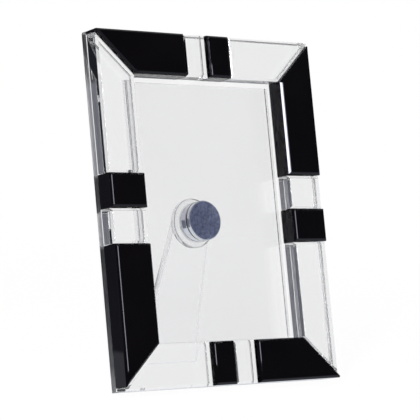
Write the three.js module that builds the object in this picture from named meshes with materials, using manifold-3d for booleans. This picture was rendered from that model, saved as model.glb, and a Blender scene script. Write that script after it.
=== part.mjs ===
// Crystal picture frame for one upright photo, standing on a clear leg that swings on a metal barrel.
// Millimetres, +Z up. The picture faces -Y and leans back, and the origin is the middle of the footprint.
import * as THREE from 'three';
import { mergeVertices } from 'three/addons/utils/BufferGeometryUtils.js';
import Module from 'manifold-3d';

// Photo, the clear margin between it and the rail at each side, and what the rails hide of it at each end
const PHOTO_WIDTH = 102;
const PHOTO_HEIGHT = 152;
const SIDE_MARGIN = 1.35;
const END_OVERLAP = 0.3;

// Rails of crystal blocks. The black ones stand proud of the clear ones.
const RAIL_WIDTH = 25.1;
const BLOCK_THICKNESS = 9.25;
const BLACK_RISE = 1.75;
const BLOCK_CHAMFER = 1.3;
const CROSS_TILE_LENGTH = 16.3;
const UPRIGHT_TILE_LENGTH = 19.8;
const CORNER_FLAT = 1.75;

// Glass sheets and the photo pocket between them
const PLATE_THICKNESS = 4.4;
const PANE_THICKNESS = 3.3;
const GLASS_ARRIS = 0.4;
const POCKET_DEPTH = 1.4;
const SPACER_WIDTH = 1.6;
const PHOTO_PLAY = 0.5;
const PANE_LAP = 0.5;
const GRIP_HEIGHT = 3;

// Clear adhesive between bonded faces
const BOND_LINE = 0.3;

// Barrel, its stud and its washer
const BARREL_DIAMETER = 23.4;
const BARREL_LENGTH = 6.6;
const BARREL_DROP = 4.85;
const BARREL_CHAMFER = 0.35;
const BASE_THICKNESS = 2.3;
const STUD_DIAMETER = 7;
const STUD_LENGTH = 5.7;
const WASHER_THICKNESS = 0.7;
const WASHER_INSET = 0.8;
const RUNNING_GAP = 0.3;
const BORE_END_WALL = 1.3;

// Leg and the disc that carries it
const DISC_DIAMETER = 29;
const DISC_THICKNESS = 3.5;
const LEG_THICKNESS = 4.4;
const LEG_TOP_WIDTH = 26.4;
const LEG_FOOT_WIDTH = 41.4;
const LEG_SPLAY = THREE.MathUtils.degToRad(25);
const FRAME_LEAN = THREE.MathUtils.degToRad(18);

// Facets of a full turn
const TURN_FACETS = 72;

// Sizes that follow from the ones above
const OPENING_WIDTH = PHOTO_WIDTH + 2 * SIDE_MARGIN;
const OPENING_HEIGHT = PHOTO_HEIGHT - 2 * END_OVERLAP;
const FRAME_WIDTH = OPENING_WIDTH + 2 * RAIL_WIDTH;
const FRAME_HEIGHT = OPENING_HEIGHT + 2 * RAIL_WIDTH;
const BARREL_RADIUS = BARREL_DIAMETER / 2;
const STUD_RADIUS = STUD_DIAMETER / 2;
const BORE_RADIUS = STUD_RADIUS + RUNNING_GAP;
const DISC_RADIUS = DISC_DIAMETER / 2;

const wasm = await Module();
wasm.setup();

// Finishes
const clearCrystal = { color: 0xe9eeee, roughness: 0.04, metalness: 0, transparent: true, opacity: 0.35 };
const blackCrystal = { color: 0x08080b, roughness: 0.05, metalness: 0 };
const brushedSteel = { color: 0x8d92a3, roughness: 0.35, metalness: 1 };
const darkNylon = { color: 0x1d1e22, roughness: 0.6, metalness: 0 };

function piece(name, geometry, finish) {
  const mesh = new THREE.Mesh(geometry, new THREE.MeshStandardMaterial(finish));
  mesh.name = name;
  return mesh;
}

// Solids for cutting, from and back to three.js geometry
function solidOf(geometry) {
  const bare = geometry.clone();
  bare.deleteAttribute('normal');
  bare.deleteAttribute('uv');
  const merged = mergeVertices(bare);
  return new wasm.Manifold(new wasm.Mesh({
    numProp: 3,
    vertProperties: new Float32Array(merged.attributes.position.array),
    triVerts: new Uint32Array(merged.index.array),
  }));
}

function geometryOf(solid) {
  const mesh = solid.getMesh();
  const indexed = new THREE.BufferGeometry();
  indexed.setAttribute('position', new THREE.BufferAttribute(mesh.vertProperties, 3));
  indexed.setIndex(new THREE.BufferAttribute(mesh.triVerts, 1));
  const faceted = indexed.toNonIndexed();
  faceted.computeVertexNormals();
  return faceted;
}

// Moves every side of a convex, anticlockwise outline inwards by the same distance
function insetOutline(outline, distance) {
  const count = outline.length;
  return outline.map((corner, i) => {
    const before = corner.clone().sub(outline[(i + count - 1) % count]).normalize();
    const after = outline[(i + 1) % count].clone().sub(corner).normalize();
    const reach = distance / before.cross(after);
    return corner.clone().addScaledVector(after, reach).addScaledVector(before, -reach);
  });
}

// Cut and polished block: flat back, upright sides, and a chamfer all round the front face
function cutBlock(outline, thickness) {
  const sides = outline.length;
  const ring = (points, height) => points.flatMap((point) => [point.x, point.y, height]);
  const face = insetOutline(outline, BLOCK_CHAMFER);
  const positions = [
    ...ring(outline, 0),
    ...ring(outline, thickness - BLOCK_CHAMFER),
    ...ring(face, thickness),
  ];
  const triangles = [];
  for (let i = 1; i < sides - 1; i += 1) {
    triangles.push(0, i + 1, i);
    triangles.push(2 * sides, 2 * sides + i, 2 * sides + i + 1);
  }
  for (let level = 0; level < 2; level += 1) {
    for (let i = 0; i < sides; i += 1) {
      const low = level * sides + i;
      const lowNext = level * sides + (i + 1) % sides;
      triangles.push(low, lowNext, lowNext + sides);
      triangles.push(low, lowNext + sides, low + sides);
    }
  }
  const block = new THREE.BufferGeometry();
  block.setAttribute('position', new THREE.Float32BufferAttribute(positions, 3));
  block.setIndex(triangles);
  const faceted = block.toNonIndexed();
  faceted.computeVertexNormals();
  return faceted;
}

// Flat glass with a ground arris on every edge of both faces. Its front face lies at zero.
function arrisedSheet(outline, thickness) {
  const sheet = new THREE.ExtrudeGeometry(new THREE.Shape(outline), {
    depth: thickness - 2 * GLASS_ARRIS,
    bevelThickness: GLASS_ARRIS,
    bevelSize: GLASS_ARRIS,
    bevelOffset: -GLASS_ARRIS,
    bevelSegments: 1,
  });
  return sheet.translate(0, 0, GLASS_ARRIS - thickness);
}

function rectangle(left, bottom, right, top) {
  return [
    new THREE.Vector2(left, bottom),
    new THREE.Vector2(right, bottom),
    new THREE.Vector2(right, top),
    new THREE.Vector2(left, top),
  ];
}

// Turned piece: the profile holds radius and distance behind the piece's front
function turned(profile) {
  const points = profile.map(([radius, behind]) => new THREE.Vector2(radius, behind));
  return new THREE.LatheGeometry(points, TURN_FACETS).rotateX(-Math.PI / 2);
}

// One rail of four blocks. X runs clockwise round the frame and Y outwards from the opening.
// The top and bottom rails own the corners, so their mitres end in a short flat at the side of the frame.
function rail(side, length, tileLength, ownsCorners) {
  const half = length / 2;
  const mitreStart = half - RAIL_WIDTH;
  const tip = ownsCorners
    ? [new THREE.Vector2(half, RAIL_WIDTH - CORNER_FLAT), new THREE.Vector2(half, RAIL_WIDTH)]
    : [new THREE.Vector2(half - CORNER_FLAT, RAIL_WIDTH)];
  const clearBar = [
    new THREE.Vector2(tileLength, 0),
    new THREE.Vector2(mitreStart, 0),
    ...tip,
    new THREE.Vector2(tileLength, RAIL_WIDTH),
  ];
  const blackBar = clearBar.map((point) => new THREE.Vector2(-point.x, point.y)).reverse();
  const clearTile = rectangle(-tileLength, 0, 0, RAIL_WIDTH);
  const blackTile = rectangle(0, 0, tileLength, RAIL_WIDTH);

  const group = new THREE.Group();
  const add = (name, outline, thickness, finish) => {
    const fitted = insetOutline(outline, BOND_LINE / 2);
    group.add(piece(`${side}_${name}`, cutBlock(fitted, thickness), finish));
  };
  add('black_bar', blackBar, BLOCK_THICKNESS + BLACK_RISE, blackCrystal);
  add('clear_tile', clearTile, BLOCK_THICKNESS, clearCrystal);
  add('black_tile', blackTile, BLOCK_THICKNESS + BLACK_RISE, blackCrystal);
  add('clear_bar', clearBar, BLOCK_THICKNESS, clearCrystal);
  return group;
}

// The picture is built upright in its own plane: X right, Y up, Z towards the viewer, plate front at zero
const picture = new THREE.Group();
picture.rotation.x = Math.PI / 2 - FRAME_LEAN;

// Front plate
const plateOutline = rectangle(-FRAME_WIDTH / 2, -FRAME_HEIGHT / 2, FRAME_WIDTH / 2, FRAME_HEIGHT / 2);
picture.add(piece('front_plate', arrisedSheet(plateOutline, PLATE_THICKNESS), clearCrystal));

// Four rails of blocks, bonded to the front of the plate
const railPlaces = [
  ['top', FRAME_WIDTH, CROSS_TILE_LENGTH, true, 0, OPENING_HEIGHT / 2],
  ['right', FRAME_HEIGHT, UPRIGHT_TILE_LENGTH, false, -Math.PI / 2, OPENING_WIDTH / 2],
  ['bottom', FRAME_WIDTH, CROSS_TILE_LENGTH, true, Math.PI, OPENING_HEIGHT / 2],
  ['left', FRAME_HEIGHT, UPRIGHT_TILE_LENGTH, false, Math.PI / 2, OPENING_WIDTH / 2],
];
for (const [side, length, tileLength, ownsCorners, turn, reach] of railPlaces) {
  const blocks = rail(side, length, tileLength, ownsCorners);
  blocks.rotation.z = turn;
  blocks.position.set(-Math.sin(turn) * reach, Math.cos(turn) * reach, BOND_LINE);
  picture.add(blocks);
}

// Photo pocket: three spacer strips and the pane that closes it, open at the top, where the photo stands above it
const paneFront = -PLATE_THICKNESS - POCKET_DEPTH;
const stripInside = PHOTO_WIDTH / 2 + PHOTO_PLAY;
const paneSide = stripInside + SPACER_WIDTH;
const paneFoot = -OPENING_HEIGHT / 2 - PANE_LAP;
const photoFoot = paneFoot + SPACER_WIDTH;
const paneTop = photoFoot + PHOTO_HEIGHT - GRIP_HEIGHT;
const paneOutline = rectangle(-paneSide, paneFoot, paneSide, paneTop);
const pane = piece('rear_pane', arrisedSheet(paneOutline, PANE_THICKNESS), clearCrystal);
pane.position.z = paneFront;
picture.add(pane);

const stripThickness = POCKET_DEPTH - 2 * BOND_LINE;
const stripMiddle = -PLATE_THICKNESS - POCKET_DEPTH / 2;
const sideStripFoot = photoFoot + BOND_LINE;
const sideStripHeight = paneTop - GLASS_ARRIS - sideStripFoot;
for (const [side, sign] of [['left', -1], ['right', 1]]) {
  const strip = new THREE.BoxGeometry(SPACER_WIDTH, sideStripHeight, stripThickness);
  const spacer = piece(`pocket_spacer_${side}`, strip, clearCrystal);
  spacer.position.set(sign * (stripInside + SPACER_WIDTH / 2), sideStripFoot + sideStripHeight / 2, stripMiddle);
  picture.add(spacer);
}
const footStrip = new THREE.BoxGeometry(2 * paneSide, SPACER_WIDTH, stripThickness);
const footSpacer = piece('pocket_spacer_bottom', footStrip, clearCrystal);
footSpacer.position.set(0, photoFoot - SPACER_WIDTH / 2, stripMiddle);
picture.add(footSpacer);

// Barrel base: a turned disc with a stud, bonded to the back of the pane
const baseFront = paneFront - PANE_THICKNESS - BOND_LINE;
const studEnd = BASE_THICKNESS + STUD_LENGTH;
const base = piece('barrel_base', turned([
  [0, 0],
  [BARREL_RADIUS - BARREL_CHAMFER, 0],
  [BARREL_RADIUS, BARREL_CHAMFER],
  [BARREL_RADIUS, BASE_THICKNESS],
  [STUD_RADIUS, BASE_THICKNESS],
  [STUD_RADIUS, studEnd - BARREL_CHAMFER],
  [STUD_RADIUS - BARREL_CHAMFER, studEnd],
  [0, studEnd],
]), brushedSteel);
base.position.set(0, -BARREL_DROP, baseFront);
picture.add(base);

// Friction washer on the stud, set in a little from the rim
const washerFront = baseFront - BASE_THICKNESS - RUNNING_GAP;
const washerRim = BARREL_RADIUS - WASHER_INSET;
const washer = piece('friction_washer', turned([
  [BORE_RADIUS, 0],
  [washerRim, 0],
  [washerRim, WASHER_THICKNESS],
  [BORE_RADIUS, WASHER_THICKNESS],
  [BORE_RADIUS, 0],
]), darkNylon);
washer.position.set(0, -BARREL_DROP, washerFront);
picture.add(washer);

// The leg swings about the stud's axis: everything below hangs on this group
const swing = new THREE.Group();
swing.position.set(0, -BARREL_DROP, washerFront - WASHER_THICKNESS - RUNNING_GAP);
picture.add(swing);

// Barrel, bored blind for the stud
const boreDepth = BARREL_LENGTH - BORE_END_WALL;
swing.add(piece('leg_barrel', turned([
  [0, boreDepth],
  [BORE_RADIUS, boreDepth],
  [BORE_RADIUS, 0],
  [BARREL_RADIUS - BARREL_CHAMFER, 0],
  [BARREL_RADIUS, BARREL_CHAMFER],
  [BARREL_RADIUS, BARREL_LENGTH - BARREL_CHAMFER],
  [BARREL_RADIUS - BARREL_CHAMFER, BARREL_LENGTH],
  [0, BARREL_LENGTH],
]), brushedSteel));

// Clear disc, bonded to the end of the barrel
const disc = piece('leg_disc', turned([
  [0, 0],
  [DISC_RADIUS - GLASS_ARRIS, 0],
  [DISC_RADIUS, GLASS_ARRIS],
  [DISC_RADIUS, DISC_THICKNESS - GLASS_ARRIS],
  [DISC_RADIUS - GLASS_ARRIS, DISC_THICKNESS],
  [0, DISC_THICKNESS],
]), clearCrystal);
disc.position.z = -BARREL_LENGTH - BOND_LINE;
swing.add(disc);

// Leg: a tapered strip of arrised glass, splayed from the disc. Its head is ground flat to the disc and its
// foot level with the table, which the lower back edge of the plate also touches.
const legHead = disc.position.z - DISC_THICKNESS - BOND_LINE;
const headBehindEdge = -(swing.position.z + legHead) - (PLATE_THICKNESS - GLASS_ARRIS);
const dropToTable = FRAME_HEIGHT / 2 - BARREL_DROP - headBehindEdge * Math.tan(FRAME_LEAN);
const legLength = dropToTable / (Math.cos(LEG_SPLAY) + Math.sin(LEG_SPLAY) * Math.tan(FRAME_LEAN));
const spare = 2 * LEG_THICKNESS / Math.tan(LEG_SPLAY);
const flare = (LEG_FOOT_WIDTH - LEG_TOP_WIDTH) / 2 / legLength;
const stripEnd = (along) => LEG_TOP_WIDTH / 2 + flare * along;
const strip = arrisedSheet([
  new THREE.Vector2(-stripEnd(legLength + spare), -legLength - spare),
  new THREE.Vector2(stripEnd(legLength + spare), -legLength - spare),
  new THREE.Vector2(stripEnd(-spare), spare),
  new THREE.Vector2(-stripEnd(-spare), spare),
], LEG_THICKNESS);
strip.translate(0, 0, LEG_THICKNESS / 2).rotateX(LEG_SPLAY);

// Room between the disc and the table, seen from the side: X is the distance behind the disc, Y is up
const room = 2 * legLength;
const tableAt = (behind) => behind * Math.tan(FRAME_LEAN) - dropToTable;
const between = new THREE.ExtrudeGeometry(new THREE.Shape([
  new THREE.Vector2(0, tableAt(0)),
  new THREE.Vector2(room, tableAt(room)),
  new THREE.Vector2(room, room),
  new THREE.Vector2(0, room),
]), { depth: room, bevelEnabled: false });
between.translate(0, 0, -room / 2).rotateY(Math.PI / 2);
const leg = piece('leg', geometryOf(solidOf(strip).intersect(solidOf(between))), clearCrystal);
leg.position.z = legHead;
swing.add(leg);

// The object stands on its lowest edge and foot, with the origin under the middle of its box
const object = new THREE.Group();
object.add(picture);
const box = new THREE.Box3().setFromObject(object, true);
const middle = box.getCenter(new THREE.Vector3());
picture.position.set(-middle.x, -middle.y, -box.min.z);

export default object;
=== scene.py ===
import math

import bmesh
import bpy
from mathutils import Matrix, Vector


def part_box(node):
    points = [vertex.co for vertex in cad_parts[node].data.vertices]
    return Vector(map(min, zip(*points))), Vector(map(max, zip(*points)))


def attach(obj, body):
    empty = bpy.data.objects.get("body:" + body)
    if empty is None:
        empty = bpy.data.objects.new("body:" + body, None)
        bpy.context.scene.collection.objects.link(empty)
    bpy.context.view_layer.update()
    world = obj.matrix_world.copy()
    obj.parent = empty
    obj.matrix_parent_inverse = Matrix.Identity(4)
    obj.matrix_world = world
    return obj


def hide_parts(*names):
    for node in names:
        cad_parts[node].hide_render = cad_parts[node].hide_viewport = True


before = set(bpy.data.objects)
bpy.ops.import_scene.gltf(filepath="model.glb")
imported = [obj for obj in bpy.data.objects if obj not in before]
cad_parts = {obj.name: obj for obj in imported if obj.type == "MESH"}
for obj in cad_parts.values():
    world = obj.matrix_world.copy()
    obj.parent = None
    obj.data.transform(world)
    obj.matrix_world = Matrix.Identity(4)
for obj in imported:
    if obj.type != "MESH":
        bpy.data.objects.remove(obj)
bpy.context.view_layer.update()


# Front plate: a sheet of clear crystal glass as large as the whole frame, polished, with ground edges and an
# arris round its back. Every other piece is bonded to it, the blocks by a film of adhesive on its front.
# The picture's own axes run right, up and out of its face, from the middle of the plate's front.
LEAN = math.radians(18)
FRAME_WIDTH = 0.1549
FRAME_HEIGHT = 0.2016
PLATE_THICKNESS = 0.0044
SHEET_ARRIS = 0.0004
RAIL_WIDTH = 0.0251
BACK_ARRIS = 0.0007
JOINT_GAP = 0.0003
NEAR = 0.0001
FACING = 0.9
POLISHED_FACE = 0
BONDED_FACE = 1
GROUND_FACE = 2
GLASS_BEND = 1.52
FILM_BEND = 1.0
SHEET_CLEAR = 0.963
POLISHED = (0.0, 0.010)
SEAMED = (0.32, 0.42)
MELT_SIZE = 0.060
WIPE_SIZE = 0.018
TINT_STEP = 0.001
MELT_STEP = 0.008
NOISE_LOW = 0.3
NOISE_HIGH = 0.7


def new_finish(name):
    material = bpy.data.materials.new(name)
    material.use_nodes = True
    tree = material.node_tree
    return material, tree, tree.nodes["Principled BSDF"]


def clouds(tree, middle, size, detail):
    place = tree.nodes.new("ShaderNodeTexCoord")
    centred = tree.nodes.new("ShaderNodeMapping")
    centred.inputs["Location"].default_value = -middle
    noise = tree.nodes.new("ShaderNodeTexNoise")
    noise.inputs["Scale"].default_value = 1 / size
    noise.inputs["Detail"].default_value = detail
    tree.links.new(place.outputs["Object"], centred.inputs["Vector"])
    tree.links.new(centred.outputs["Vector"], noise.inputs["Vector"])
    return noise.outputs["Fac"]


def ramp(tree, value, start, end, first=0.0, last=1.0, kind="LINEAR"):
    slope = tree.nodes.new("ShaderNodeMapRange")
    slope.interpolation_type = kind
    slope.inputs["From Min"].default_value = start
    slope.inputs["From Max"].default_value = end
    slope.inputs["To Min"].default_value = first
    slope.inputs["To Max"].default_value = last
    tree.links.new(value, slope.inputs["Value"])
    return slope.outputs["Result"]


def roughen(tree, shader, pattern, low, high):
    tree.links.new(ramp(tree, pattern, NOISE_LOW, NOISE_HIGH, low, high), shader.inputs["Roughness"])


def colour(tree, shader, pattern, dark, light):
    tones = tree.nodes.new("ShaderNodeValToRGB")
    tones.color_ramp.elements[0].position = NOISE_LOW
    tones.color_ramp.elements[0].color = (*dark, 1)
    tones.color_ramp.elements[1].position = NOISE_HIGH
    tones.color_ramp.elements[1].color = (*light, 1)
    tree.links.new(pattern, tones.inputs["Fac"])
    tree.links.new(tones.outputs["Color"], shader.inputs["Base Color"])


def clear_crystal(name, middle, clear, smooth, rough):
    material, tree, shader = new_finish(name)
    shader.inputs["IOR"].default_value = GLASS_BEND
    shader.inputs["Transmission Weight"].default_value = 1.0
    dark = (clear - 2 * TINT_STEP, clear - TINT_STEP, clear)
    light = [tone + MELT_STEP for tone in dark]
    colour(tree, shader, clouds(tree, middle, MELT_SIZE, detail=1.0), dark, light)
    roughen(tree, shader, clouds(tree, middle, WIPE_SIZE, detail=3.0), smooth, rough)
    return material


def pick(piece, parts, wanted):
    bpy.ops.object.mode_set(mode="EDIT")
    bpy.ops.mesh.select_mode(type="FACE" if parts == "faces" else "EDGE")
    bpy.ops.mesh.select_all(action="DESELECT")
    mesh = bmesh.from_edit_mesh(piece.data)
    for part in getattr(mesh, parts):
        part.select_set(all(wanted(vert.co) for vert in part.verts))
    bmesh.update_edit_mesh(piece.data)


def bevel_picked(width):
    bpy.ops.mesh.bevel(offset=width, offset_type="OFFSET", segments=1, affect="EDGES")


def cut_sheet(name, width, foot, top, front, thickness):
    bpy.ops.object.select_all(action="DESELECT")
    bpy.ops.mesh.primitive_cube_add(size=1, location=(0, (foot + top) / 2, front - thickness / 2))
    sheet = bpy.context.object
    sheet.name = name
    sheet.data.name = name
    sheet.scale = (width, top - foot, thickness)
    bpy.ops.object.transform_apply(location=True, rotation=False, scale=True)
    return sheet


def set_in_frame(sheet, node):
    sheet.data.transform(picture)
    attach(sheet, "frame")
    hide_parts(node)


plate_low, plate_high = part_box("front_plate")
plate_middle = (Vector(plate_low) + Vector(plate_high)) / 2
tilt = Matrix.Rotation(math.pi / 2 - LEAN, 4, "X")
picture = Matrix.Translation(plate_middle) @ tilt @ Matrix.Translation((0, 0, PLATE_THICKNESS / 2))
sheet_glass = clear_crystal("sheet_glass", plate_middle, SHEET_CLEAR, *POLISHED)
seamed_glass = clear_crystal("seamed_glass", plate_middle, SHEET_CLEAR, *SEAMED)
bond_film = clear_crystal("bond_film", plate_middle, SHEET_CLEAR, smooth=0.0, rough=0.0)
bond_film.node_tree.nodes["Principled BSDF"].inputs["IOR"].default_value = FILM_BEND
plate = cut_sheet("ground_plate", FRAME_WIDTH, -FRAME_HEIGHT / 2, FRAME_HEIGHT / 2, 0, PLATE_THICKNESS)
pick(plate, "edges", lambda place: place.z < NEAR - PLATE_THICKNESS)
bevel_picked(SHEET_ARRIS)
for finish in (sheet_glass, bond_film, seamed_glass):
    plate.data.materials.append(finish)
mesh = bmesh.from_edit_mesh(plate.data)
for face in mesh.faces:
    if abs(face.normal.z) < FACING:
        face.material_index = GROUND_FACE
bmesh.update_edit_mesh(plate.data)
pick(plate, "faces", lambda place: place.z > -NEAR)
bpy.ops.mesh.inset(thickness=BACK_ARRIS)
plate.active_material_index = BONDED_FACE
bpy.ops.object.material_slot_assign()
bpy.ops.mesh.inset(thickness=RAIL_WIDTH - JOINT_GAP - 2 * BACK_ARRIS)
plate.active_material_index = POLISHED_FACE
bpy.ops.object.material_slot_assign()
bpy.ops.object.mode_set(mode="OBJECT")
set_in_frame(plate, "front_plate")


# Clear blocks: a mitred bar and a tile of clear crystal on each rail, cut and polished. The front has a broad
# chamfer all round, the back a ground arris tinted darker as painted shade along the joint, the bars' tips are
# nipped off and other edges are barely broken.
# They reach the plate through the film of adhesive, which doesn't bend the light.
CORNER_FLAT = 0.00175
CROSS_TILE = 0.0163
UPRIGHT_TILE = 0.0198
CLEAR_THICKNESS = 0.00925
CHAMFER = 0.0013
FINE_ARRIS = 0.00005
SPARE = 0.004
FILM = 0.00032
BACKWARD = -0.1
SHARP = math.radians(20)
BLOCK_CLEAR = 0.905
# The ground arris is tinted half dark: painted shade for the dark line where the clear blocks meet the plate.
GROUND_SHADE_TINT = 0.50
GROUND = (0.45, 0.60)


def cut_block(start, end, thickness):
    bpy.ops.object.select_all(action="DESELECT")
    middle = ((start + end) / 2, (RAIL_WIDTH + JOINT_GAP) / 2, (thickness - FILM) / 2)
    bpy.ops.mesh.primitive_cube_add(size=1, location=middle)
    block = bpy.context.object
    block.scale = (end - start - JOINT_GAP, RAIL_WIDTH - JOINT_GAP, thickness + FILM)
    bpy.ops.object.transform_apply(location=True, rotation=False, scale=True)
    return block


def cut_mitre(corner, run, rise):
    outward = Vector((math.copysign(rise, corner), -run, 0)).normalized()
    through = Vector((corner, 0, 0)) - outward * JOINT_GAP / 2
    bpy.ops.object.mode_set(mode="EDIT")
    bpy.ops.mesh.select_all(action="SELECT")
    bpy.ops.mesh.bisect(plane_co=through, plane_no=outward, use_fill=True, clear_outer=True)


def chamfer_front(block, thickness):
    pick(block, "edges", lambda place: place.z > thickness - NEAR)
    bevel_picked(CHAMFER)


def nip_tip(end):
    outward = Vector((math.copysign(1, end), 0, 0))
    bpy.ops.mesh.select_all(action="SELECT")
    bpy.ops.mesh.bisect(plane_co=(end, 0, 0), plane_no=outward, use_fill=True, clear_outer=True)


def grind_back(block):
    for finish in (block_glass, bond_film, ground_shaded_glass):
        block.data.materials.append(finish)
    pick(block, "edges", lambda place: place.z < NEAR - FILM)
    bevel_picked(BACK_ARRIS)
    mesh = bmesh.from_edit_mesh(block.data)
    for face in mesh.faces:
        if face.normal.z < -FACING:
            face.material_index = BONDED_FACE
        elif face.normal.z < BACKWARD:
            # The ground back arris takes the darker tint, a painted shade line along the bond.
            face.material_index = GROUND_FACE
    bmesh.update_edit_mesh(block.data)


def ease_edges(piece, width, steps):
    bpy.ops.object.mode_set(mode="OBJECT")
    ease = piece.modifiers.new("ease", "BEVEL")
    ease.width = width
    ease.segments = steps
    ease.limit_method = "ANGLE"
    ease.angle_limit = SHARP
    bpy.ops.object.modifier_apply(modifier="ease")


def set_on_rail(block, node, turn, reach):
    block.name = f"cut_{node}"
    block.data.name = f"cut_{node}"
    outward = Matrix.Rotation(turn, 4, "Z") @ Matrix.Translation((0, reach, JOINT_GAP))
    block.data.transform(picture @ outward)
    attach(block, "frame")
    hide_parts(node)


def set_on_both_rails(block, rail, piece):
    bpy.ops.object.select_all(action="DESELECT")
    block.select_set(True)
    bpy.context.view_layer.objects.active = block
    bpy.ops.object.duplicate(linked=False)
    other = bpy.context.object
    set_on_rail(block, f"{rail['first']}_{piece}", rail["turn"], rail["reach"])
    set_on_rail(other, f"{rail['second']}_{piece}", rail["turn"] + math.pi, rail["reach"])


block_glass = clear_crystal("block_glass", plate_middle, BLOCK_CLEAR, *POLISHED)
# Ground glass with the half-dark tint: real ground roughness, and painted shade in its colour.
ground_shaded_glass = clear_crystal("ground_shaded_glass", plate_middle, GROUND_SHADE_TINT, *GROUND)
cross_rail = {
    "first": "top",
    "second": "bottom",
    "turn": 0,
    "end": FRAME_WIDTH / 2,
    "tile": CROSS_TILE,
    "reach": FRAME_HEIGHT / 2 - RAIL_WIDTH,
    "mitre": (RAIL_WIDTH, RAIL_WIDTH - CORNER_FLAT),
}
upright_rail = {
    "first": "left",
    "second": "right",
    "turn": math.pi / 2,
    "end": FRAME_HEIGHT / 2,
    "tile": UPRIGHT_TILE,
    "reach": FRAME_WIDTH / 2 - RAIL_WIDTH,
    "mitre": (RAIL_WIDTH - CORNER_FLAT, RAIL_WIDTH),
}
for rail in (cross_rail, upright_rail):
    bar = cut_block(rail["tile"], rail["end"] + SPARE, CLEAR_THICKNESS)
    cut_mitre(rail["end"] - RAIL_WIDTH, *rail["mitre"])
    chamfer_front(bar, CLEAR_THICKNESS)
    nip_tip(rail["end"])
    grind_back(bar)
    ease_edges(bar, FINE_ARRIS, steps=1)
    set_on_both_rails(bar, rail, "clear_bar")
    small = cut_block(-rail["tile"], 0, CLEAR_THICKNESS)
    chamfer_front(small, CLEAR_THICKNESS)
    grind_back(small)
    ease_edges(small, FINE_ARRIS, steps=1)
    set_on_both_rails(small, rail, "clear_tile")


# Black blocks: a mitred bar and a tile of black crystal on each rail, cut and polished like the clear ones
# but 1.75 mm thicker, so that they stand proud, with finely eased edges. They are bonded on the same way.
# Clockwise every rail runs black bar, clear tile, black tile, clear bar.
BLACK_THICKNESS = 0.011
ARRIS = 0.00025
BLACK_DEEP = (0.0006, 0.0004, 0.0005)
BLACK_PALE = (0.0012, 0.0009, 0.0010)
BLACK_GLOSS = 0.18
BLACK_SHEEN = (0.85, 0.86, 1.0, 1)
BLACK_POLISH = (0.012, 0.035)
BLACK_MELT_SIZE = 0.030
BLACK_WIPE_SIZE = 0.012


def ease_front(block):
    bpy.ops.mesh.select_mode(type="EDGE")
    bpy.ops.mesh.select_all(action="DESELECT")
    bpy.ops.mesh.edges_select_sharp(sharpness=SHARP)
    mesh = bmesh.from_edit_mesh(block.data)
    for edge in mesh.edges:
        if all(vert.co.z < 0 for vert in edge.verts):
            edge.select_set(False)
    bevel_picked(ARRIS)
    bpy.ops.object.mode_set(mode="OBJECT")


black_glass, tree, shader = new_finish("black_glass")
shader.inputs["IOR"].default_value = GLASS_BEND
shader.inputs["Specular IOR Level"].default_value = BLACK_GLOSS
shader.inputs["Specular Tint"].default_value = BLACK_SHEEN
colour(tree, shader, clouds(tree, plate_middle, BLACK_MELT_SIZE, detail=2.0), BLACK_DEEP, BLACK_PALE)
roughen(tree, shader, clouds(tree, plate_middle, BLACK_WIPE_SIZE, detail=3.0), *BLACK_POLISH)
for rail in (cross_rail, upright_rail):
    bar = cut_block(-rail["end"] - SPARE, -rail["tile"], BLACK_THICKNESS)
    cut_mitre(RAIL_WIDTH - rail["end"], *rail["mitre"])
    chamfer_front(bar, BLACK_THICKNESS)
    nip_tip(-rail["end"])
    ease_front(bar)
    bar.data.materials.append(black_glass)
    set_on_both_rails(bar, rail, "black_bar")
    small = cut_block(0, rail["tile"], BLACK_THICKNESS)
    chamfer_front(small, BLACK_THICKNESS)
    ease_front(small)
    small.data.materials.append(black_glass)
    set_on_both_rails(small, rail, "black_tile")


# Rear pane: a sheet of the same clear glass behind the plate, a little lower than the opening, its edges
# barely broken. It closes the photo pocket and carries the barrel. The pocket's strips hold it to the plate.
PANE_WIDTH = 0.1062
PANE_FOOT = -0.0762
PANE_TOP = 0.0744
PANE_FRONT = -0.0058
PANE_THICKNESS = 0.0033
pane = cut_sheet("ground_pane", PANE_WIDTH, PANE_FOOT, PANE_TOP, PANE_FRONT, PANE_THICKNESS)
ease_edges(pane, FINE_ARRIS, steps=1)
pane.data.materials.append(sheet_glass)
set_in_frame(pane, "rear_pane")


# Pocket strips: thin clear plastic between the plate and the pane, on both sides and along the foot.
# They are cut from extruded strip with adhesive on both faces, a little hazier than the glass.
STRIP_BEND = 1.47
STRIP_DULL = (0.95, 0.96, 0.96)
STRIP_CLEAR = (0.98, 0.98, 0.98)
STRIP_HAZE = (0.01, 0.05)
DRAWN_SIZE = 0.008
HAZE_SIZE = 0.002
strip_plastic, tree, shader = new_finish("strip_plastic")
shader.inputs["IOR"].default_value = STRIP_BEND
shader.inputs["Transmission Weight"].default_value = 1.0
colour(tree, shader, clouds(tree, plate_middle, DRAWN_SIZE, detail=2.0), STRIP_DULL, STRIP_CLEAR)
roughen(tree, shader, clouds(tree, plate_middle, HAZE_SIZE, detail=3.0), *STRIP_HAZE)
for side in ("left", "right", "bottom"):
    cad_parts[f"pocket_spacer_{side}"].material_slots[0].material = strip_plastic


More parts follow.
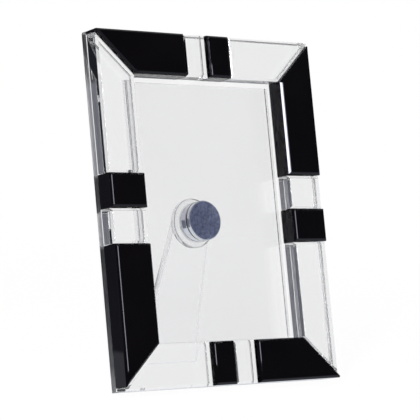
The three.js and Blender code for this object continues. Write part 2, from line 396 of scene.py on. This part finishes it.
# Barrel base: a steel disc with a stud, turned from bar, bonded to the back of the pane. Its front is ground
# to a fine mottled blue-grey and shows through the glass. The chamfer, the rim and the stud are polished.
BARREL_RADIUS = 0.0117
BARREL_CHAMFER = 0.00035
BARREL_DROP = 0.00485
BASE_FRONT = -0.0094
BASE_THICKNESS = 0.0023
BASE_CHAMFER = 0.0005
STUD_RADIUS = 0.0035
STUD_LENGTH = 0.0057
TURN_STEPS = 160
TURNED_ARRIS = 0.0001
ROUND_STEPS = 3
SQUARE_ON = 0.95
MOTTLE_DARK = (0.25, 0.31, 0.55)
MOTTLE_PALE = (0.56, 0.65, 0.94)
MOTTLE_SIZE = 0.0018
MOTTLE_DULL = (0.34, 0.46)
GRIT_SIZE = 0.0004
GRIT_DEPTH = 0.00004
STEEL_DARK = (0.66, 0.68, 0.72)
STEEL_PALE = (0.82, 0.83, 0.86)
STEEL_POLISH = (0.06, 0.14)
RINGS_PER_METRE = 9000
RING_DEPTH = 0.00001


def turn_piece(name, profile):
    bpy.ops.object.select_all(action="DESELECT")
    radius, behind = profile[0]
    bpy.ops.mesh.primitive_circle_add(
        vertices=TURN_STEPS, radius=radius, fill_type="NGON", location=(0, 0, 0)
    )
    piece = bpy.context.object
    piece.name = name
    piece.data.name = name
    bpy.ops.object.mode_set(mode="EDIT")
    bpy.ops.mesh.select_mode(type="FACE")
    bpy.ops.mesh.select_all(action="SELECT")
    bpy.ops.transform.translate(value=(0, 0, -behind))
    for next_radius, next_behind in profile[1:]:
        grow = next_radius / radius
        bpy.ops.mesh.extrude_region_move(TRANSFORM_OT_translate={"value": (0, 0, behind - next_behind)})
        bpy.ops.transform.resize(value=(grow, grow, 1), center_override=(0, 0, 0))
        radius, behind = next_radius, next_behind
    bpy.ops.mesh.select_all(action="SELECT")
    bpy.ops.mesh.normals_make_consistent(inside=False)
    return piece


def set_on_barrel(piece, front, node, body, material):
    bpy.ops.object.shade_smooth_by_angle(angle=SHARP)
    piece.data.transform(picture @ Matrix.Translation((0, -BARREL_DROP, front)))
    piece.data.materials.append(material)
    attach(piece, body)
    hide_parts(node)


def relief(tree, shader, pattern, strength, depth):
    bump = tree.nodes.new("ShaderNodeBump")
    bump.inputs["Strength"].default_value = strength
    bump.inputs["Distance"].default_value = depth
    tree.links.new(pattern, bump.inputs["Height"])
    tree.links.new(bump.outputs["Normal"], shader.inputs["Normal"])


def lathe_rings(tree, middle):
    place = tree.nodes.new("ShaderNodeTexCoord")
    along = tree.nodes.new("ShaderNodeMapping")
    along.vector_type = "TEXTURE"
    along.inputs["Location"].default_value = middle
    along.inputs["Rotation"].default_value = (math.pi / 2 - LEAN, 0, 0)
    split = tree.nodes.new("ShaderNodeSeparateXYZ")
    rings = tree.nodes.new("ShaderNodeTexNoise")
    rings.noise_dimensions = "1D"
    rings.inputs["Scale"].default_value = RINGS_PER_METRE
    rings.inputs["Detail"].default_value = 2.0
    tree.links.new(place.outputs["Object"], along.inputs["Vector"])
    tree.links.new(along.outputs["Vector"], split.inputs["Vector"])
    tree.links.new(split.outputs["Z"], rings.inputs["W"])
    return rings.outputs["Fac"]


base_middle = picture @ Vector((0, -BARREL_DROP, BASE_FRONT))
ground_steel, tree, shader = new_finish("ground_steel")
shader.inputs["Metallic"].default_value = 1.0
mottle = clouds(tree, base_middle, MOTTLE_SIZE, detail=3.0)
colour(tree, shader, mottle, MOTTLE_DARK, MOTTLE_PALE)
roughen(tree, shader, mottle, *MOTTLE_DULL)
grit = clouds(tree, base_middle, GRIT_SIZE, detail=2.0)
relief(tree, shader, grit, strength=0.5, depth=GRIT_DEPTH)
bright_steel, tree, shader = new_finish("polished_steel")
shader.inputs["Metallic"].default_value = 1.0
rings = lathe_rings(tree, base_middle)
colour(tree, shader, rings, STEEL_DARK, STEEL_PALE)
roughen(tree, shader, rings, *STEEL_POLISH)
relief(tree, shader, rings, strength=0.25, depth=RING_DEPTH)
stud_end = BASE_THICKNESS + STUD_LENGTH
base = turn_piece("turned_base", [
    (BARREL_RADIUS - BASE_CHAMFER, 0),
    (BARREL_RADIUS, BASE_CHAMFER),
    (BARREL_RADIUS, BASE_THICKNESS),
    (STUD_RADIUS, BASE_THICKNESS),
    (STUD_RADIUS, stud_end - BARREL_CHAMFER),
    (STUD_RADIUS - BARREL_CHAMFER, stud_end),
])
ease_edges(base, TURNED_ARRIS, ROUND_STEPS)
set_on_barrel(base, BASE_FRONT, "barrel_base", "frame", ground_steel)
base.data.materials.append(bright_steel)
out_of_face = picture.to_3x3() @ Vector((0, 0, 1))
for face in base.data.polygons:
    face.material_index = int(face.normal.dot(out_of_face) < SQUARE_ON)


# Friction washer: a thin ring punched from dark nylon sheet, loose on the stud and set in from the rim.
# It keeps the two steel faces apart and holds the leg where it is turned to.
WASHER_RADIUS = 0.0109
WASHER_BORE = 0.0038
WASHER_THICKNESS = 0.0007
RUNNING_GAP = 0.0003
PUNCHED_ARRIS = 0.00008
NYLON_DARK = (0.014, 0.014, 0.017)
NYLON_PALE = (0.030, 0.030, 0.034)
NYLON_DULL = (0.45, 0.62)
SPECKLE_SIZE = 0.0010
SPECKLE_DEPTH = 0.00005
nylon, tree, shader = new_finish("nylon")
speckle = clouds(tree, base_middle, SPECKLE_SIZE, detail=3.0)
colour(tree, shader, speckle, NYLON_DARK, NYLON_PALE)
roughen(tree, shader, speckle, *NYLON_DULL)
relief(tree, shader, speckle, strength=0.4, depth=SPECKLE_DEPTH)
washer_front = BASE_FRONT - BASE_THICKNESS - RUNNING_GAP
washer = turn_piece("punched_washer", [(WASHER_RADIUS, 0), (WASHER_RADIUS, WASHER_THICKNESS)])
bpy.ops.mesh.select_all(action="DESELECT")
bpy.ops.mesh.select_face_by_sides(number=TURN_STEPS, type="EQUAL")
bpy.ops.mesh.inset(thickness=WASHER_RADIUS - WASHER_BORE, use_individual=True)
bpy.ops.mesh.bridge_edge_loops()
bpy.ops.mesh.select_all(action="SELECT")
bpy.ops.mesh.normals_make_consistent(inside=False)
ease_edges(washer, PUNCHED_ARRIS, ROUND_STEPS)
set_on_barrel(washer, washer_front, "friction_washer", "frame", nylon)


# Leg barrel: a short steel barrel, turned, polished and bored blind for the stud, which it swings on.
# The lathe leaves very fine rings round it.
BARREL_LENGTH = 0.0066
BORE_DEPTH = 0.0053
barrel_front = washer_front - WASHER_THICKNESS - RUNNING_GAP
barrel = turn_piece("turned_barrel", [
    (WASHER_BORE, BORE_DEPTH),
    (WASHER_BORE, 0),
    (BARREL_RADIUS - BARREL_CHAMFER, 0),
    (BARREL_RADIUS, BARREL_CHAMFER),
    (BARREL_RADIUS, BARREL_LENGTH - BARREL_CHAMFER),
    (BARREL_RADIUS - BARREL_CHAMFER, BARREL_LENGTH),
])
ease_edges(barrel, TURNED_ARRIS, ROUND_STEPS)
set_on_barrel(barrel, barrel_front, "leg_barrel", "leg", bright_steel)


# Leg disc: a round of clear crystal, ground to a cylinder and polished, a little wider than the barrel, with
# an arris left ground. Adhesive bonds it to the barrel's end, and the leg to its back.
DISC_RADIUS = 0.0145
DISC_THICKNESS = 0.0035
DISC_ARRIS = 0.0004
DISC_ROUND = 0.00015
SLANTED = 0.3
disc_front = barrel_front - BARREL_LENGTH - JOINT_GAP
disc = turn_piece("ground_disc", [
    (DISC_RADIUS - DISC_ARRIS, 0),
    (DISC_RADIUS, DISC_ARRIS),
    (DISC_RADIUS, DISC_THICKNESS - DISC_ARRIS),
    (DISC_RADIUS - DISC_ARRIS, DISC_THICKNESS + FILM),
])
ease_edges(disc, DISC_ROUND, ROUND_STEPS)
disc_glass = clear_crystal("disc_glass", base_middle, SHEET_CLEAR, *POLISHED)
set_on_barrel(disc, disc_front, "leg_disc", "leg", disc_glass)
# The disc's ground arris takes the same darker tint, painted shade as on the blocks' back arrises.
disc.data.materials.append(ground_shaded_glass)
for face in disc.data.polygons:
    face.material_index = int(SLANTED < abs(face.normal.dot(out_of_face)) < SQUARE_ON)


# Leg: a tapered strip of clear plate glass with ground edges. Its head is ground to the slope of the disc and
# its foot level with the table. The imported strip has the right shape, so it only gets its finish: faces that
# look forward or back are polished and hardly mirror, and all others are dull.
LEG_CLEAR = 0.990
NO_MIRROR = (0, 0, 0, 1)
EDGE_ON = (0.4, 0.6)
EDGE_DULL = 0.22


def reckon(tree, operation, *values):
    sum_node = tree.nodes.new("ShaderNodeMath")
    sum_node.operation = operation
    for socket, value in zip(sum_node.inputs, values):
        if isinstance(value, float):
            socket.default_value = value
        else:
            tree.links.new(value, socket)
    return sum_node.outputs[0]


leg_glass = clear_crystal("leg_glass", base_middle, LEG_CLEAR, *POLISHED)
tree = leg_glass.node_tree
shader = tree.nodes["Principled BSDF"]
shader.inputs["Specular Tint"].default_value = NO_MIRROR
polish = shader.inputs["Roughness"].links[0].from_socket
outward = tree.nodes.new("ShaderNodeTexCoord")
split = tree.nodes.new("ShaderNodeSeparateXYZ")
tree.links.new(outward.outputs["Normal"], split.inputs["Vector"])
facing = reckon(tree, "ABSOLUTE", split.outputs["Y"])
edge = ramp(tree, facing, *EDGE_ON, first=EDGE_DULL, last=0.0)
tree.links.new(reckon(tree, "ADD", polish, edge), shader.inputs["Roughness"])
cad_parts["leg"].material_slots[0].material = leg_glass


# Table: a plain pale top, white where the object stands and dim beyond a line to its left. Seen directly or
# through the glass all of it is white but for a faint shadow.
TABLE_SIZE = 8.0
TABLE_COLOUR = (0.86, 0.86, 0.87, 1)
TABLE_DULL = 0.9
WHITE = (1, 1, 1, 1)
PAPER_COLOUR = (0.90, 0.93, 1.0, 1)
PAPER_SIDE = (-0.78, 0.62, 0)
PAPER_EDGE = (0.147, 0.163)
ROOM_COLOUR = (0.17, 0.18, 0.23, 1)
SHADOW_REACH = (0.20, 0.60)
SHADOW_SHARE = (0.975, 1.0)
BEFORE_BOUNCE = 0.5


def towards(tree, place, side):
    along = tree.nodes.new("ShaderNodeVectorMath")
    along.operation = "DOT_PRODUCT"
    along.inputs[1].default_value = side
    tree.links.new(place, along.inputs[0])
    return along.outputs["Value"]


def mix_colours(tree, share, *colours):
    mix = tree.nodes.new("ShaderNodeMix")
    mix.data_type = "RGBA"
    tree.links.new(share, mix.inputs["Factor"])
    for socket, value in zip((mix.inputs["A"], mix.inputs["B"]), colours):
        if isinstance(value, tuple):
            socket.default_value = value
        else:
            tree.links.new(value, socket)
    return mix.outputs["Result"]


bpy.ops.object.select_all(action="DESELECT")
bpy.ops.mesh.primitive_plane_add(size=TABLE_SIZE, location=(0, 0, 0))
table = bpy.context.object
table.name = "table"
table_top, tree, shader = new_finish("table_top")
shader.inputs["Base Color"].default_value = TABLE_COLOUR
shader.inputs["Roughness"].default_value = TABLE_DULL
place = tree.nodes.new("ShaderNodeTexCoord").outputs["Object"]
dimmed = ramp(tree, towards(tree, place, PAPER_SIDE), *PAPER_EDGE, kind="SMOOTHSTEP")
paper = mix_colours(tree, dimmed, PAPER_COLOUR, ROOM_COLOUR)
path = tree.nodes.new("ShaderNodeLightPath").outputs
seen = reckon(tree, "MAXIMUM", path["Is Camera Ray"], path["Is Transmission Ray"])
glow = tree.nodes.new("ShaderNodeEmission")
tree.links.new(mix_colours(tree, seen, paper, WHITE), glow.inputs["Color"])
away = tree.nodes.new("ShaderNodeVectorMath")
away.operation = "LENGTH"
tree.links.new(place, away.inputs[0])
shadow = ramp(tree, away.outputs["Value"], *SHADOW_REACH, *SHADOW_SHARE, kind="SMOOTHSTEP")
looked_at = reckon(tree, "LESS_THAN", path["Diffuse Depth"], BEFORE_BOUNCE)
lit = tree.nodes.new("ShaderNodeMixShader")
tree.links.new(reckon(tree, "MULTIPLY", shadow, looked_at), lit.inputs["Fac"])
tree.links.new(shader.outputs["BSDF"], lit.inputs[1])
tree.links.new(glow.outputs["Emission"], lit.inputs[2])
tree.links.new(lit.outputs["Shader"], tree.nodes["Material Output"].inputs["Surface"])
table.data.materials.append(table_top)


# Room: a white backdrop beyond the table, opposite the camera, and a pale wall to its left, in a dim and
# slightly cool room that is dimmest on the right. Looked at directly, or back through the glass, it is white.
WALL_COLOUR = (0.66, 0.65, 0.70, 1)
FAR_COLOUR = (0.135, 0.138, 0.165, 1)
BACKDROP_SIDE = Vector((0.61, 0.78, -0.05)).normalized()
BACKDROP_EDGE = (0.55, 0.80)
BEHIND_EDGE = (0.0, 0.3)
FAR_EDGE = (0.1, 0.5)
WALL_EDGE = (-0.2, 0.2)
MOST_BOUNCES = 400
MOST_GLASS_BOUNCES = 200
room = bpy.data.worlds.new("room")
bpy.context.scene.world = room
room.use_nodes = True
tree = room.node_tree
sight = tree.nodes.new("ShaderNodeTexCoord").outputs["Generated"]
split = tree.nodes.new("ShaderNodeSeparateXYZ")
tree.links.new(sight, split.inputs["Vector"])
path = tree.nodes.new("ShaderNodeLightPath").outputs
backdrop = ramp(tree, towards(tree, sight, BACKDROP_SIDE), *BACKDROP_EDGE, kind="SMOOTHSTEP")
behind = ramp(tree, split.outputs["Y"], *BEHIND_EDGE, kind="SMOOTHSTEP")
far = ramp(tree, split.outputs["X"], *FAR_EDGE, kind="SMOOTHSTEP")
left = ramp(tree, split.outputs["X"], *WALL_EDGE, first=1.0, last=0.0, kind="SMOOTHSTEP")
through = reckon(tree, "MULTIPLY", path["Is Transmission Ray"], behind)
white = reckon(tree, "MAXIMUM", reckon(tree, "MAXIMUM", backdrop, through), path["Is Camera Ray"])
dim = mix_colours(tree, far, ROOM_COLOUR, FAR_COLOUR)
walls = mix_colours(tree, reckon(tree, "MULTIPLY", left, behind), dim, WALL_COLOUR)
tree.links.new(mix_colours(tree, white, walls, WHITE), tree.nodes["Background"].inputs["Color"])
bpy.context.scene.cycles.max_bounces = MOST_BOUNCES
bpy.context.scene.cycles.glossy_bounces = MOST_GLASS_BOUNCES
bpy.context.scene.cycles.transmission_bounces = MOST_GLASS_BOUNCES


# Camera: level with the middle of the picture and well to its left, on a long lens. The photograph is turned
# a little, so that the picture seems to lean less than it does.
SEEN_LEAN = math.radians(8.41)
YAW = math.radians(38.27)
PITCH = math.radians(0.23)
CAMERA_PLACE = Vector((-0.718274, -0.900161, -0.005738))
LENS = 172.61
SENSOR = 36.0
SIGHT_END = 50
tip = Matrix.Rotation(SEEN_LEAN - LEAN, 3, "X")
centre = picture @ Vector((0, 0, CLEAR_THICKNESS + JOINT_GAP))
level = math.cos(PITCH)
forward = tip @ Vector((math.sin(YAW) * level, math.cos(YAW) * level, math.sin(PITCH)))
right = tip @ Vector((math.cos(YAW), -math.sin(YAW), 0))
up = right.cross(forward)
facing_out = Matrix((right, up, -forward)).transposed().to_4x4()
camera_data = bpy.data.cameras.new("camera")
camera_data.lens = LENS
camera_data.sensor_width = SENSOR
camera_data.clip_end = SIGHT_END
camera = bpy.data.objects.new("camera", camera_data)
bpy.context.scene.collection.objects.link(camera)
camera.matrix_world = Matrix.Translation(centre + tip @ CAMERA_PLACE) @ facing_out
bpy.context.scene.camera = camera


# Lamps: a tall narrow soft box to the left of the camera, which the left chamfers of the blocks mirror as a
# white line, and a weaker one before the picture. Rays through the glass pass them by, because they would
# show there as white dots.
LAMP_DISTANCE = 1.144


def soft_box(name, azimuth, low, high, width, energy):
    middle = math.radians((low + high) / 2)
    turn = math.radians(azimuth)
    way = Vector((math.sin(turn) * math.cos(middle), math.sin(middle), math.cos(turn) * math.cos(middle)))
    rise = Vector((-math.sin(turn) * math.sin(middle), math.cos(middle), -math.cos(turn) * math.sin(middle)))
    face = Matrix((rise.cross(way), rise, way)).transposed()
    lamp_data = bpy.data.lights.new(name, "AREA")
    lamp_data.shape = "RECTANGLE"
    lamp_data.size = width
    lamp_data.size_y = 2 * LAMP_DISTANCE * math.tan(math.radians(high - low) / 2)
    lamp_data.energy = energy
    lamp = bpy.data.objects.new(name, lamp_data)
    lamp.visible_transmission = False
    bpy.context.scene.collection.objects.link(lamp)
    spot = centre + picture.to_3x3() @ way * LAMP_DISTANCE
    lamp.matrix_world = Matrix.Translation(spot) @ (picture.to_3x3() @ face).to_4x4()


soft_box("key_box", azimuth=-48.7, low=8.8, high=48.5, width=0.080, energy=18)
soft_box("front_box", azimuth=-6.5, low=-2, high=15, width=0.26, energy=5)

bpy.context.scene.view_settings.view_transform = "Standard"
